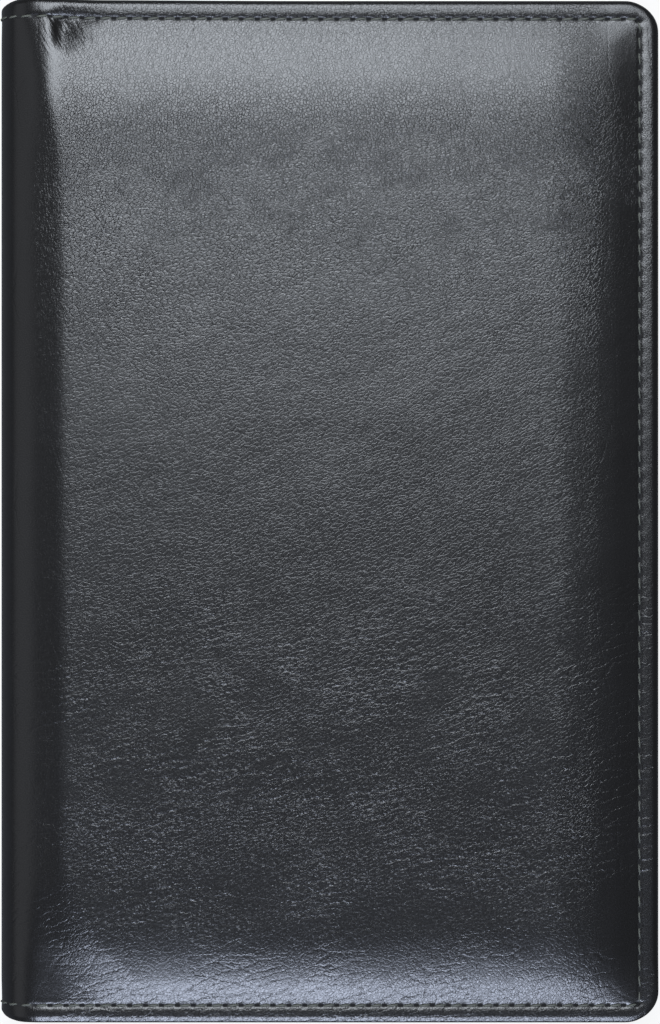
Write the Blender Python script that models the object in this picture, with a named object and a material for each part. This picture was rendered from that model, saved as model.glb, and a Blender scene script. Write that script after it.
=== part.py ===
"""A leather business card holder: two padded covers, a spine, and a sealed booklet of clear card leaves.

Shapes are written in millimetres from the spine's outermost line (x_s), the middle of the height (y)
and the middle of the thickness (z). place() turns such a point into metres in the part's own frame.
"""

import math

import bmesh
import bpy
from mathutils import Vector

MM = 0.001

# Cards and the booklet's leaves
CARD_W = 90.0
CARD_H = 55.0
CARD_SLACK_W = 5.0
CARD_SLACK_H = 2.0
ROWS = 3
WELD = 3.75
WELD_SPINE = 3.0
WELD_FORE = 4.0
LEAVES = 8
LEAF_PITCH = 0.775
WEB_T = 0.2
FILM_T = 0.13
CAVITY_T = 0.08
LEAF_MARGIN = 8.0
LEAF_CORNER = 4.0
MOUTH_W = 1.0
MOUTH_INSET = 0.3
NOTCH_W = 16.0
NOTCH_D = 6.0

# Layers of a cover, from the inside out
GAP = 0.15
SLEEVE_T = 0.5
FLAP_T = 0.45
LINING_T = 0.5
BOARD_T = 1.2
LEATHER_T = 1.0

# Borders and clearances
BORDER_FORE = 7.45
BORDER_ENDS = 4.5
LINING_CLEAR = 0.2
BOARD_CLEAR = 0.45
BOARD_STEP = 0.4
SLEEVE_W = 60.0
SLEEVE_WALL = 0.6
SLEEVE_CLEAR = 0.9
FLAP_SHIFT = 0.5
BINDING_W = 4.0
BINDING_CLEAR = 0.78
BINDING_INSET = 0.2
BINDING_SHORT = 0.5
LEAF_GAP = 0.35

# Leather form
CORNER_R = 6.0
ROLL = 1.3
CREASE = 2.3
CROWN = 2.0
CROWN_RUN = 16.0
CROWN_RUN_SPINE = 14.0
FOAM_INSET = 1.6
FOAM_MIN_T = 0.06
FOAM_CORNER = 2.0
STEP_START = 1.5
STEP_RUN = 1.8
FOLD_GAP = 0.3
LINING_FOLD_GAP = 0.42

# Seam
SEAM_INSET = 3.3
THREAD_D = 0.4
THREAD_SINK = 0.05
THREAD_SIDE = 0.2
GROOVE_SLOPE = 0.4
THREAD_FOLD_GAP = 0.6

# Turns and steps in round shapes
ARC_STEPS = 4
CORNER_STEPS = 4
THREAD_SIDES = 6
NOTCH_STEPS = 6

# Derived values
POCKET_W = CARD_W + CARD_SLACK_W
POCKET_H = CARD_H + CARD_SLACK_H
LEAF_W = LEAF_MARGIN + WELD_SPINE + POCKET_W + WELD_FORE
LEAF_H = ROWS * (POCKET_H + WELD) + WELD
LEAF_T = WEB_T + 2 * (CAVITY_T + FILM_T)
STACK_HALF = LEAVES * LEAF_PITCH / 2
Z_SLEEVE = STACK_HALF + GAP
Z_FLAP = Z_SLEEVE + SLEEVE_T + GAP
Z_LINING = Z_FLAP + FLAP_T + GAP
Z_BOARD = Z_LINING + LINING_T + GAP
Z_LEATHER = Z_BOARD + BOARD_T + GAP
SPINE_R = Z_LEATHER + LEATHER_T
Z_MID = SPINE_R + CROWN
LINING_R = Z_LEATHER - GAP
LINING_IN = LINING_R - LINING_T
BINDING_T = 2 * (STACK_HALF - BINDING_INSET)
BINDING_X = SPINE_R - math.sqrt(LINING_IN**2 - (BINDING_T / 2) ** 2) + BINDING_CLEAR
LEAF_X = BINDING_X + BINDING_W + LEAF_GAP
WIDTH = LEAF_X + LEAF_W + BORDER_FORE
HEIGHT = LEAF_H + 2 * BORDER_ENDS
HALF_H = HEIGHT / 2
GROOVE_DEPTH = THREAD_D + GAP + THREAD_SINK
GROOVE_HALF = THREAD_D / 2 + THREAD_SIDE
THREAD_LEVEL = SPINE_R - GROOVE_DEPTH + GAP + THREAD_D / 2
CROWN_INSET = SEAM_INSET + GROOVE_HALF + GROOVE_SLOPE
CROWN_LEFT = SPINE_R + CREASE
FOLD_ANGLE = math.pi / 4
FOLD_X = SPINE_R - SPINE_R * math.cos(FOLD_ANGLE)
FOLD_Z = SPINE_R * math.sin(FOLD_ANGLE)
BOARD_X = SPINE_R + STEP_START + STEP_RUN + BOARD_STEP
LINING_INSET = LEATHER_T + LINING_CLEAR

MATERIALS = {
    "leather": ((0.016, 0.016, 0.018, 1.0), 0.42),
    "foam": ((0.16, 0.16, 0.17, 1.0), 0.95),
    "board": ((0.42, 0.34, 0.24, 1.0), 0.9),
    "lining": ((0.02, 0.02, 0.022, 1.0), 0.8),
    "thread": ((0.012, 0.012, 0.012, 1.0), 0.6),
    "vinyl": ((0.02, 0.02, 0.022, 1.0), 0.4),
    "film": ((0.85, 0.87, 0.88, 0.35), 0.12),
}


def clear_scene():
    for obj in list(bpy.data.objects):
        bpy.data.objects.remove(obj, do_unlink=True)


def material(slot, name):
    colour, rough = MATERIALS[slot]
    mat = bpy.data.materials.new(name)
    mat.use_nodes = True
    shader = mat.node_tree.nodes["Principled BSDF"]
    shader.inputs["Base Color"].default_value = colour
    shader.inputs["Roughness"].default_value = rough
    shader.inputs["Alpha"].default_value = colour[3]
    return mat


def place(x_s, y, z):
    """A point of the part's frame, in metres: the origin is under the middle of the footprint."""
    return Vector(((x_s - WIDTH / 2) * MM, y * MM, (z + Z_MID) * MM))


def home_of(parent):
    return Vector((0.0, 0.0, 0.0)) if parent is None else Vector(parent["at"])


def pivot(name, x_s, z, parent=None):
    """An empty on a fold's axis, which carries the pieces that turn there."""
    empty = bpy.data.objects.new(name, None)
    bpy.context.scene.collection.objects.link(empty)
    spot = place(x_s, 0.0, z)
    empty.parent = parent
    empty.location = spot - home_of(parent)
    empty["at"] = tuple(spot)
    return empty


def node(name, slot, bm, parent=None):
    """Makes a named piece of a bmesh whose points are still in millimetres."""
    home = home_of(parent)
    for vert in bm.verts:
        vert.co = place(*vert.co) - home
    bmesh.ops.recalc_face_normals(bm, faces=bm.faces)
    mesh = bpy.data.meshes.new(name)
    bm.to_mesh(mesh)
    bm.free()
    mesh.materials.append(material(slot, name))
    obj = bpy.data.objects.new(name, mesh)
    bpy.context.scene.collection.objects.link(obj)
    obj.parent = parent
    return obj


def curve(angle, radius, y, sign=1):
    """A point on the spine's curve; the angle runs from the outermost line towards a cover."""
    return (SPINE_R - radius * math.cos(angle), y, sign * radius * math.sin(angle))


def spread(first, last, steps):
    return [first + (last - first) * k / steps for k in range(steps + 1)]


def rounded(dx, dy, radius):
    """Moves a point at insets dx, dy from a square corner onto the rounded corner's parallel curve."""
    near, far = min(dx, dy), max(dx, dy)
    if far >= radius:
        return dx, dy
    reach = radius - near
    angle = FOLD_ANGLE * (1 - (far - near) / reach)
    along, across = radius - reach * math.cos(angle), radius - reach * math.sin(angle)
    return (along, across) if dx <= dy else (across, along)


def rise(inset, run):
    """How full the padding is at an inset from its edge, from 0 to 1."""
    t = min(max(inset / run, 0.0), 1.0)
    return 1 - (1 - t) ** 2


def crown(x_s, dy):
    """How far the padding lifts the leather at x_s and at an inset from the top or bottom edge."""
    fore = rise(WIDTH - CROWN_INSET - x_s, CROWN_RUN)
    spine = rise(x_s - CROWN_LEFT, CROWN_RUN_SPINE)
    return CROWN * spine * fore * rise(dy - CROWN_INSET, CROWN_RUN)


def wall_foot(x_s):
    """The level where the turned edge ends: the inner face of the lining beside it."""
    t = min(max((x_s - SPINE_R - STEP_START) / STEP_RUN, 0.0), 1.0)
    return LINING_IN + (Z_LINING - LINING_IN) * t


def edge_rings():
    """Rings of the edge and seam: outer inset and depth, then inner inset and share of the wall."""
    groove, slope = GROOVE_HALF, GROOVE_HALF + GROOVE_SLOPE
    rings = [(0.0, None, LEATHER_T, 1.0)]
    for t, share in ((0.0, 0.45), (0.3, 0.12), (1.0, 0.0)):
        depth = ROLL * (1 - math.sqrt(1 - (1 - t) ** 2))
        rings.append((t * ROLL, depth, max(t * ROLL, LEATHER_T), share))
    for inset, depth in (
        (SEAM_INSET - slope, 0.0),
        (SEAM_INSET - groove, GROOVE_DEPTH),
        (SEAM_INSET + groove, GROOVE_DEPTH),
        (CROWN_INSET, 0.0),
    ):
        rings.append((inset, depth, inset, 0.0))
    return rings


def cover_rings():
    """The edge's rings, then those of the padding's slope and of the corner's end."""
    insets = {CORNER_R} | {CROWN_INSET + CROWN_RUN * share for share in (0.34, 0.62, 1.0)}
    return edge_rings() + [(d, 0.0, d, 0.0) for d in sorted(insets) if d > CROWN_INSET]


def outer_level(ring, foot):
    """A ring's level on the leather's outside, before the padding lifts it."""
    return foot + LEATHER_T / 3 if ring[1] is None else SPINE_R - ring[1]


def inner_level(ring, foot):
    return Z_LEATHER - ring[3] * (Z_LEATHER - foot)


def grid_faces(bm, rows, corner=None):
    """Quads between rows of points. Where corner gives 1 or 2, the quad is split along that diagonal."""
    for i in range(len(rows) - 1):
        for j in range(len(rows[0]) - 1):
            a, b = rows[i][j], rows[i][j + 1]
            c, d = rows[i + 1][j + 1], rows[i + 1][j]
            split = corner(i, j) if corner else 0
            if split == 0:
                bm.faces.new((a, b, c, d))
            elif split == 1:
                bm.faces.new((a, b, c))
                bm.faces.new((a, c, d))
            else:
                bm.faces.new((a, b, d))
                bm.faces.new((b, c, d))


def strip(bm, first, second):
    for k in range(len(first) - 1):
        bm.faces.new((first[k], first[k + 1], second[k + 1], second[k]))


def closed_shell(columns, lines, outer, inner, corner=None):
    """One closed body between two surfaces that share their grid lines."""
    bm = bmesh.new()
    top = [[bm.verts.new(outer(c, r)) for r in lines] for c in columns]
    under = [[bm.verts.new(inner(c, r)) for r in lines] for c in columns]
    grid_faces(bm, top, corner)
    grid_faces(bm, under, corner)
    strip(bm, top[0], under[0])
    strip(bm, top[-1], under[-1])
    strip(bm, [row[0] for row in top], [row[0] for row in under])
    strip(bm, [row[-1] for row in top], [row[-1] for row in under])
    return bm


def both_ends(rings):
    """Grid lines in y: the rings from the bottom edge in, then those out to the top edge."""
    return [(-1, ring) for ring in rings] + [(1, ring) for ring in reversed(rings)]


def curved_leather(columns, rings, sign):
    """The two surface functions of leather on the spine's curve, and its grid lines in y."""

    def outer(angle, line):
        side, ring = line
        return curve(angle, outer_level(ring, LINING_IN), side * (HALF_H - ring[0]), sign)

    def inner(angle, line):
        side, ring = line
        return curve(angle, inner_level(ring, LINING_IN), side * (HALF_H - ring[2]), sign)

    return columns, both_ends(rings), outer, inner


def cover_leather(sign):
    """A cover's leather, from the fold line round the curve to the fore edge, with a turned edge."""
    rings = cover_rings()
    first = FOLD_ANGLE + FOLD_GAP / 2 / SPINE_R
    arc = spread(first, math.pi / 2, ARC_STEPS)
    slope = [CROWN_LEFT + CROWN_RUN_SPINE * share for share in (0.0, 0.17, 0.39, 0.66, 1.0)]
    flat = [(WIDTH - x, 0.0, WIDTH - x, 0.0) for x in slope]
    columns = arc + flat + list(reversed(rings))
    _, lines, arc_outer, arc_inner = curved_leather(arc, rings, sign)

    def outer(column, line):
        if isinstance(column, float):
            return arc_outer(column, line)
        side, ring = line
        edge = min(column, ring, key=lambda one: (one[0], one[1] is not None))
        ax, ay = rounded(column[0], ring[0], CORNER_R)
        level = outer_level(edge, wall_foot(WIDTH - ax)) + crown(WIDTH - column[0], ring[0])
        return (WIDTH - ax, side * (HALF_H - ay), sign * level)

    def inner(column, line):
        if isinstance(column, float):
            return arc_inner(column, line)
        side, ring = line
        edge = max(column, ring, key=lambda one: one[3])
        ax, ay = rounded(column[2], ring[2], CORNER_R)
        level = inner_level(edge, wall_foot(WIDTH - ax)) + crown(WIDTH - column[2], ring[2])
        return (WIDTH - ax, side * (HALF_H - ay), sign * level)

    def corner(i, j):
        if i < len(columns) - len(rings) or j == len(rings) - 1:
            return 0
        return 1 if j >= len(rings) else 2

    return closed_shell(columns, lines, outer, inner, corner)


def spine_leather():
    """The middle quarter turn of the leather, with its turned ends and the seam's groove."""
    half = FOLD_ANGLE - FOLD_GAP / 2 / SPINE_R
    return closed_shell(*curved_leather(spread(-half, half, 2 * ARC_STEPS), edge_rings(), 1))


def spine_lining():
    half = FOLD_ANGLE - LINING_FOLD_GAP / 2 / SPINE_R

    def outer(angle, side):
        return curve(angle, LINING_R, side * (HALF_H - LINING_INSET))

    def inner(angle, side):
        return curve(angle, LINING_IN, side * (HALF_H - LINING_INSET))

    return closed_shell(spread(-half, half, 2 * ARC_STEPS), (-1, 1), outer, inner)


def foam(sign):
    """The skived pad that fills the space between the board and the leather."""
    start = CROWN_LEFT + FOAM_INSET
    full = CROWN_LEFT + CROWN_RUN_SPINE
    shares = (0.0, 0.12, 0.3, 0.6, 1.0)
    insets = [CROWN_INSET + FOAM_INSET + (CROWN_RUN - FOAM_INSET) * share for share in shares]
    columns = [start + (full - start) * share for share in shares]
    columns += [WIDTH - d for d in reversed(insets)]

    def spot(x_s, line):
        ax, ay = rounded(WIDTH - x_s - insets[0], line[1] - insets[0], FOAM_CORNER)
        return WIDTH - insets[0] - ax, line[0] * (HALF_H - insets[0] - ay)

    def over(x_s, line):
        lift = max(crown(x_s, line[1]) - GAP, FOAM_MIN_T)
        return (*spot(x_s, line), sign * (Z_LEATHER + lift))

    def under(x_s, line):
        return (*spot(x_s, line), sign * Z_LEATHER)

    return closed_shell(columns, both_ends(insets), over, under)


def prism(bm, outline, low, high):
    """A flat plate between two levels, from an outline of x_s, y points."""
    bottom = [bm.verts.new((x, y, low)) for x, y in outline]
    top = [bm.verts.new((x, y, high)) for x, y in outline]
    bm.faces.new(bottom)
    bm.faces.new(top)
    strip(bm, bottom + bottom[:1], top + top[:1])
    return bm


def arc_points(x, y, radius, start):
    """A corner's points about x, y, a quarter turn clockwise from a start angle in degrees."""
    angles = [math.radians(start - 90 * k / CORNER_STEPS) for k in range(CORNER_STEPS + 1)]
    return [(x + radius * math.cos(a), y + radius * math.sin(a)) for a in angles]


def outline_of(x0, x1, half, radius=0.0):
    """A rectangle's outline, clockwise from the top fore corner, with rounded fore corners."""
    if radius <= 0:
        return [(x1, half), (x1, -half), (x0, -half), (x0, half)]
    fore = arc_points(x1 - radius, half - radius, radius, 90)
    fore += arc_points(x1 - radius, radius - half, radius, 0)
    return fore + [(x0, -half), (x0, half)]


def plate(outline, sign, low, thickness):
    return prism(bmesh.new(), outline, sign * low, sign * (low + thickness))


def lining(sign):
    """A cover's lining: round the curve, down past the board's end and out to the fore edge."""
    half = HALF_H - LINING_INSET
    radius = CORNER_R - LINING_INSET
    first = FOLD_ANGLE + LINING_FOLD_GAP / 2 / SPINE_R
    profile = []
    for angle in spread(first, math.pi / 2, ARC_STEPS):
        far, near = curve(angle, LINING_R, 0), curve(angle, LINING_IN, 0)
        profile.append(((far[0], far[2]), (near[0], near[2])))
    for x_s, level in ((SPINE_R + STEP_START, LINING_IN), (SPINE_R + STEP_START + STEP_RUN, Z_LINING)):
        profile.append(((x_s + LINING_T / 3, level + LINING_T), (x_s, level)))
    bm = bmesh.new()
    rows = []
    for pair in profile:
        rows.append([bm.verts.new((x, y, sign * z)) for x, z in pair for y in (half, -half)])
    for a, b in zip(rows, rows[1:]):
        for p, q in ((0, 1), (1, 3), (3, 2), (2, 0)):
            bm.faces.new((a[p], a[q], b[q], b[p]))
    bm.faces.new((rows[0][0], rows[0][1], rows[0][3], rows[0][2]))
    fore = outline_of(0, WIDTH - LINING_INSET, half, radius)[:-2]
    far = [bm.verts.new((x, y, sign * (Z_LINING + LINING_T))) for x, y in fore]
    near = [bm.verts.new((x, y, sign * Z_LINING)) for x, y in fore]
    far_loop = [rows[-1][0], *far, rows[-1][1]]
    near_loop = [rows[-1][2], *near, rows[-1][3]]
    bm.faces.new(far_loop)
    bm.faces.new(near_loop)
    strip(bm, far_loop, near_loop)
    return bm


def sleeve(sign):
    """The pocket for a booklet flap: a panel with a wall on three sides, open towards the spine."""
    x1 = LEAF_X + FLAP_SHIFT + LEAF_W + SLEEVE_CLEAR + SLEEVE_WALL
    x0 = x1 - SLEEVE_W
    half = LEAF_H / 2 + SLEEVE_CLEAR + SLEEVE_WALL
    outside = [(x0, half), (x1, half), (x1, -half), (x0, -half)]
    bore, end = half - SLEEVE_WALL, x1 - SLEEVE_WALL
    inside = [(x0, bore), (end, bore), (end, -bore), (x0, -bore)]
    bm = bmesh.new()

    def ring(points, level):
        return [bm.verts.new((x, y, sign * level)) for x, y in points]

    base = ring(outside, Z_SLEEVE)
    rim = ring(outside, Z_LINING - GAP)
    lip = ring(inside, Z_LINING - GAP)
    floor = ring(inside, Z_SLEEVE + SLEEVE_T)
    bm.faces.new(base)
    bm.faces.new(floor)
    strip(bm, base, rim)
    strip(bm, rim, lip)
    strip(bm, lip, floor)
    bm.faces.new((base[3], base[0], rim[0], lip[0], floor[0], floor[3], lip[3], rim[3]))
    return bm


def tube(path, radius):
    """A round strand along a path of points, with flat ends."""
    bm = bmesh.new()
    rings = []
    side = None
    for k, point in enumerate(path):
        before, after = path[max(k - 1, 0)], path[min(k + 1, len(path) - 1)]
        ahead = (after - before).normalized()
        if 0 < k < len(path) - 1:
            ahead = ((point - before).normalized() + (after - point).normalized()).normalized()
        side = ahead.orthogonal() if side is None else side - side.project(ahead)
        side.normalize()
        up = ahead.cross(side)
        ring = []
        for s in range(THREAD_SIDES):
            a = 2 * math.pi * s / THREAD_SIDES
            ring.append(bm.verts.new(point + radius * (math.cos(a) * side + math.sin(a) * up)))
        rings.append(ring)
    for one, two in zip(rings, rings[1:]):
        strip(bm, one + one[:1], two + two[:1])
    bm.faces.new(rings[0])
    bm.faces.new(rings[-1])
    return bm


def cover_thread(sign):
    """The seam's strand from one fold line along the top, the fore edge and the bottom to the fold line."""
    y = HALF_H - SEAM_INSET
    first = FOLD_ANGLE + THREAD_FOLD_GAP / SPINE_R
    half = [Vector(curve(a, THREAD_LEVEL, y, sign)) for a in spread(first, math.pi / 2, ARC_STEPS)]
    radius = CORNER_R - SEAM_INSET
    for x, y in arc_points(WIDTH - SEAM_INSET - radius, y - radius, radius, 90):
        half.append(Vector((x, y, sign * THREAD_LEVEL)))
    return tube(half + [Vector((p.x, -p.y, p.z)) for p in reversed(half)], THREAD_D / 2)


def spine_thread(side):
    """The strand across one end of the spine, between the two fold lines."""
    half = FOLD_ANGLE - THREAD_FOLD_GAP / SPINE_R
    y = side * (HALF_H - SEAM_INSET)
    path = [Vector(curve(a, THREAD_LEVEL, y)) for a in spread(-half, half, 2 * ARC_STEPS)]
    return tube(path, THREAD_D / 2)


def scratch(name, bm):
    """A temporary object with outward faces, in millimetres."""
    bmesh.ops.recalc_face_normals(bm, faces=bm.faces)
    mesh = bpy.data.meshes.new(name)
    bm.to_mesh(mesh)
    bm.free()
    obj = bpy.data.objects.new(name, mesh)
    bpy.context.scene.collection.objects.link(obj)
    return obj


def boolean(obj, cutter, operation):
    """Applies an exact Boolean and removes its cutter."""
    modifier = obj.modifiers.new(operation, "BOOLEAN")
    modifier.operation = operation
    modifier.solver = "EXACT"
    modifier.object = cutter
    bpy.context.view_layer.update()
    made = bpy.data.meshes.new_from_object(obj.evaluated_get(bpy.context.evaluated_depsgraph_get()))
    obj.modifiers.clear()
    obj.data = made
    bpy.data.objects.remove(cutter, do_unlink=True)


def mouth_outline(x0, x1, top):
    """A pocket's mouth: a slit under its top edge, with a thumb notch in the middle."""
    high, low = top - MOUTH_INSET, top - MOUTH_INSET - MOUTH_W
    left, right = x0 + MOUTH_W, x1 - MOUTH_W
    notch = []
    for angle in spread(math.pi, 2 * math.pi, NOTCH_STEPS):
        x = (x0 + x1) / 2 + NOTCH_W / 2 * math.cos(angle)
        notch.append((x, low + NOTCH_D * math.sin(angle)))
    return [(left, high), (left, low), *notch, (right, low), (right, high)]


def leaf(level):
    """A welded leaf: a thin bending margin, then a web with open pockets on both sides."""
    half = LEAF_H / 2
    welded = outline_of(LEAF_X + LEAF_MARGIN, LEAF_X + LEAF_W, half, LEAF_CORNER)
    main = scratch("welded", prism(bmesh.new(), welded, level - LEAF_T / 2, level + LEAF_T / 2))
    margin = outline_of(LEAF_X, LEAF_X + LEAF_MARGIN + WELD_SPINE / 3, half - BINDING_SHORT)
    web = scratch("margin", prism(bmesh.new(), margin, level - WEB_T / 2, level + WEB_T / 2))
    cavities, mouths = bmesh.new(), bmesh.new()
    x0 = LEAF_X + LEAF_MARGIN + WELD_SPINE
    x1 = x0 + POCKET_W
    for row in range(ROWS):
        base = -half + WELD + row * (POCKET_H + WELD)
        top = base + POCKET_H
        for face in (-1, 1):
            inside = level + face * WEB_T / 2
            ceiling = inside + face * CAVITY_T
            prism(cavities, [(x0, base), (x1, base), (x1, top), (x0, top)], inside, ceiling)
            prism(mouths, mouth_outline(x0, x1, top), (inside + ceiling) / 2, level + face * LEAF_T)
    boolean(main, web, "UNION")
    boolean(main, scratch("cavities", cavities), "DIFFERENCE")
    boolean(main, scratch("mouths", mouths), "DIFFERENCE")
    bm = bmesh.new()
    bm.from_mesh(main.data)
    bpy.data.objects.remove(main, do_unlink=True)
    return bm


def binding():
    outline = outline_of(BINDING_X, BINDING_X + BINDING_W, LEAF_H / 2 - BINDING_SHORT)
    return prism(bmesh.new(), outline, -BINDING_T / 2, BINDING_T / 2)


def cover(side, sign, parent):
    """All the pieces of one cover; sign is 1 for the front and -1 for the back."""
    inset = LEATHER_T + BOARD_CLEAR
    board = outline_of(BOARD_X, WIDTH - inset, HALF_H - inset, CORNER_R - inset)
    flap_x = LEAF_X + FLAP_SHIFT
    flap = outline_of(flap_x, flap_x + LEAF_W, LEAF_H / 2, LEAF_CORNER)
    node(f"{side}_leather", "leather", cover_leather(sign), parent)
    node(f"{side}_foam", "foam", foam(sign), parent)
    node(f"{side}_board", "board", plate(board, sign, Z_BOARD, BOARD_T), parent)
    node(f"{side}_lining", "lining", lining(sign), parent)
    node(f"{side}_sleeve", "lining", sleeve(sign), parent)
    node(f"{side}_thread", "thread", cover_thread(sign), parent)
    node(f"booklet_{side}_flap", "vinyl", plate(flap, sign, Z_FLAP, FLAP_T), parent)


def spine(parent):
    node("spine_leather", "leather", spine_leather(), parent)
    node("spine_lining", "lining", spine_lining(), parent)
    node("booklet_binding", "vinyl", binding(), parent)
    node("spine_thread_top", "thread", spine_thread(1), parent)
    node("spine_thread_bottom", "thread", spine_thread(-1), parent)


def build():
    clear_scene()
    spine_fold = pivot("spine_fold", FOLD_X, -FOLD_Z)
    front_fold = pivot("front_cover_fold", FOLD_X, FOLD_Z, spine_fold)
    cover("back", -1, None)
    spine(spine_fold)
    cover("front", 1, front_fold)
    for k in range(LEAVES):
        level = ((LEAVES - 1) / 2 - k) * LEAF_PITCH
        hinge = pivot(f"leaf_{k + 1}_hinge", LEAF_X, level, spine_fold)
        node(f"leaf_{k + 1}", "film", leaf(level), hinge)
    bpy.context.view_layer.update()


if __name__ == "__main__":
    build()
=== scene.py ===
"""Dresses the leather business card holder and lights it for a picture from straight above."""

import math

import bmesh
import bpy
from bpy.props import FloatProperty, FloatVectorProperty, IntProperty, PointerProperty
from mathutils import Matrix, Vector, noise


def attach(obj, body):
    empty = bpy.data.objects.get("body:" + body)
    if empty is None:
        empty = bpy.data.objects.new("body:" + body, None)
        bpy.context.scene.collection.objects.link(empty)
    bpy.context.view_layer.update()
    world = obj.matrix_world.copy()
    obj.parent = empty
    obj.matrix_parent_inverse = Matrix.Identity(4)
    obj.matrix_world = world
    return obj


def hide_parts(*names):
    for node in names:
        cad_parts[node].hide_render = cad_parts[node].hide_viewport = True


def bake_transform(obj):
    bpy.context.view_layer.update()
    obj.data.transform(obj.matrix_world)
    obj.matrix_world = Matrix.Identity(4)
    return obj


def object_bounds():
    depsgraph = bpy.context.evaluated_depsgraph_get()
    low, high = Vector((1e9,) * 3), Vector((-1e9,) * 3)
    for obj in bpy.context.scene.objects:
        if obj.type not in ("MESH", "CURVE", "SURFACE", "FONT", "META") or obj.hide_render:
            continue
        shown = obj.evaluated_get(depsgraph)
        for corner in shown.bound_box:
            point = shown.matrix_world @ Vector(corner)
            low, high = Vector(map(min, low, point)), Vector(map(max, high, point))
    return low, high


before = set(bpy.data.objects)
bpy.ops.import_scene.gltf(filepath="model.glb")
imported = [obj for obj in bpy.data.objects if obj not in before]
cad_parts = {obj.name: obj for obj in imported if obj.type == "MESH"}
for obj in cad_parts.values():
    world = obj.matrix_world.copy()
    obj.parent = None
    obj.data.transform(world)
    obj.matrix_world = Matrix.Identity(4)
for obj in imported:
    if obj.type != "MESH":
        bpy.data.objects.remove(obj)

bl_info = {
    "name": "Card Holder",
    "version": (1, 0, 0),
    "blender": (4, 5, 0),
    "location": "3D View > Sidebar > Card Holder",
    "description": "Makes the hide, pads, stitches, linings and booklet finish of a leather card holder",
    "category": "Object",
}

# Shapes below are in millimetres. They are counted from the spine's outermost line, the middle height and
# the middle thickness.
MM = 0.001
CASE_LOW, CASE_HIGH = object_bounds()
WIDTH = (CASE_HIGH.x - CASE_LOW.x) / MM
HALF_HEIGHT = CASE_HIGH.y / MM
MIDDLE = (CASE_LOW.z + CASE_HIGH.z) / 2 / MM
PANEL_TOP = MIDDLE

SPINE_RADIUS = 7.5
SPINE_RUN = SPINE_RADIUS * math.pi / 2
EDGE_RUN = SPINE_RUN + WIDTH - SPINE_RADIUS
CORNER_RADIUS = 6.0
SEAM_CORNER = 0.9
SEAM_CORNER_REACH = 3
WALL = 1.7
TURN_UNDER = 1.2
LINING_FACE = 4.5
SPINE_LINING_FACE = 5.85
BOARD_TOP = 5.15
CLEAR = 0.02
BULGE = 0.37

# The fold that the hide makes beside the spine's top end. On its way in from the end it goes down, leans
# away from the spine and gets wider. A ridge lies between it and the spine.
PINCH_ACROSS = 11.4
PINCH_DEPTH = 0.9
PINCH_FROM_END = 3.4
PINCH_FALL = 2
PINCH_LEAN = 0.4
PINCH_WIDTH = 1.0
PINCH_FAR_WIDTH = 2.9
PINCH_WIDENING = 0.3
PINCH_OF_PADDING = 1.3
RIDGE_ACROSS = 9
RIDGE_HEIGHT = 0.2
RIDGE_WIDTH = 1.6

# Beside that fold the seam presses the hide down, on both its sides, and the end reaches further out.
PRESSED_DEPTH = 0.36
PRESSED_OUTWARDS = 2.9
PRESSED_INWARDS = 1.4
TOP_REACH = 0.4

# The front panel's slight unevenness: its height, and the size of its swells.
UNEVENNESS = 0.09
SWELL_SIZE = 17

# Towards the bottom end the rolled edge gets smaller, and its rim leans outwards.
BOTTOM_ZONE = 14
BOTTOM_FADE = 10
BOTTOM_ROLL_LOSS = 0.8
BOTTOM_DROP = 0.3136
RIM_LEAN = 0.28
RIM_WIDTH = 1.12

# The groove along the seam: where it starts, how far past the seam it is lowest, and over what distance
# it rises again.
GROOVE_START = 1.9
GROOVE_PAST_SEAM = 0.3
GROOVE_RISE = 5

# Just outside the seam the hide puckers between the stitches.
PUCKER_DEPTH = 0.035
PUCKER_OUTWARDS = 0.75
PUCKER_WIDTH = 0.7

# The top end lies lower towards the fore edge, and inside its rim.
LOWER_AT_FORE = 0.2
LOWER_INSIDE = 0.25
LOWER_RIM = 2.6

# How deep a stitch hole is, and how far its side reaches along the seam and across it.
HOLE_DEPTH = 0.5
HOLE_LENGTH = 0.5
HOLE_WIDTH = 0.32

# How far half a stitch reaches as a share of its pitch, how blunt its ends are, how far they dip, and its
# slant. Its half height and its lift are shares of the thread's thickness.
STITCH_REACH = 0.36
STITCH_BLUNTNESS = 0.8
STITCH_DIP = 0.3
STITCH_SLANT = 0.12
STITCH_HALF_HEIGHT = 0.42
STITCH_LIFT = 0.2

# How thick the fore edge's thread looks beside that of the ends.
FORE_THREAD = 0.78

# The foam's distance from the edges, from the spine's outermost line, and from the hide's outer face.
PAD_INSET = 5.4
PAD_START = 12.0
PAD_UNDER = 1.1
PAD_COLUMNS = 44
PAD_ROWS = 72

# Beside the spine the lining steps inwards, over its fall. Its rows run from the middle to one end.
LINING_THICKNESS = 0.42
LINING_FALL = 3.3
LINING_COLUMNS = 64
LINING_ROWS = 60

# The spine's ends draw back from the covers' ends, most at the spine's outermost line.
DRAWN_BACK = 1.65
DRAWN_ACROSS = 4.7
DRAWN_ALONG = 3.6

# From the seam to the foot of the padded panel.
PAD_GAP = 0.45

# Each change below is a first value, what is added to it, where that starts and over what distance.
# The padding's start beside the spine and its run, by the distance from the cover's end:
PAD_AT_TOP = ((9.0, -5.8, 0.0, 4.4), (6.3, 3.5, 14.0, 20.0))
PAD_AT_BOTTOM = ((8.7, -5.5, 4.0, 12.0), (19.0, -9.2, 8.0, 22.0))
# What the padding's run is longer by at each edge, and how steeply it starts to rise there:
FORE_SWELL = (-0.4, 1.65)
TOP_SWELL = (6, 2.3)
BOTTOM_SWELL = (-1.2, 2.1)
# The seam's share of its full depth and the lining's face, by the distance across the cover:
SEAM_SHARE = (0.4, 0.6, 2.0, 6.0)
LINING_STEP = (SPINE_LINING_FACE, LINING_FACE - SPINE_LINING_FACE, 8.4, 2.6)

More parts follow.
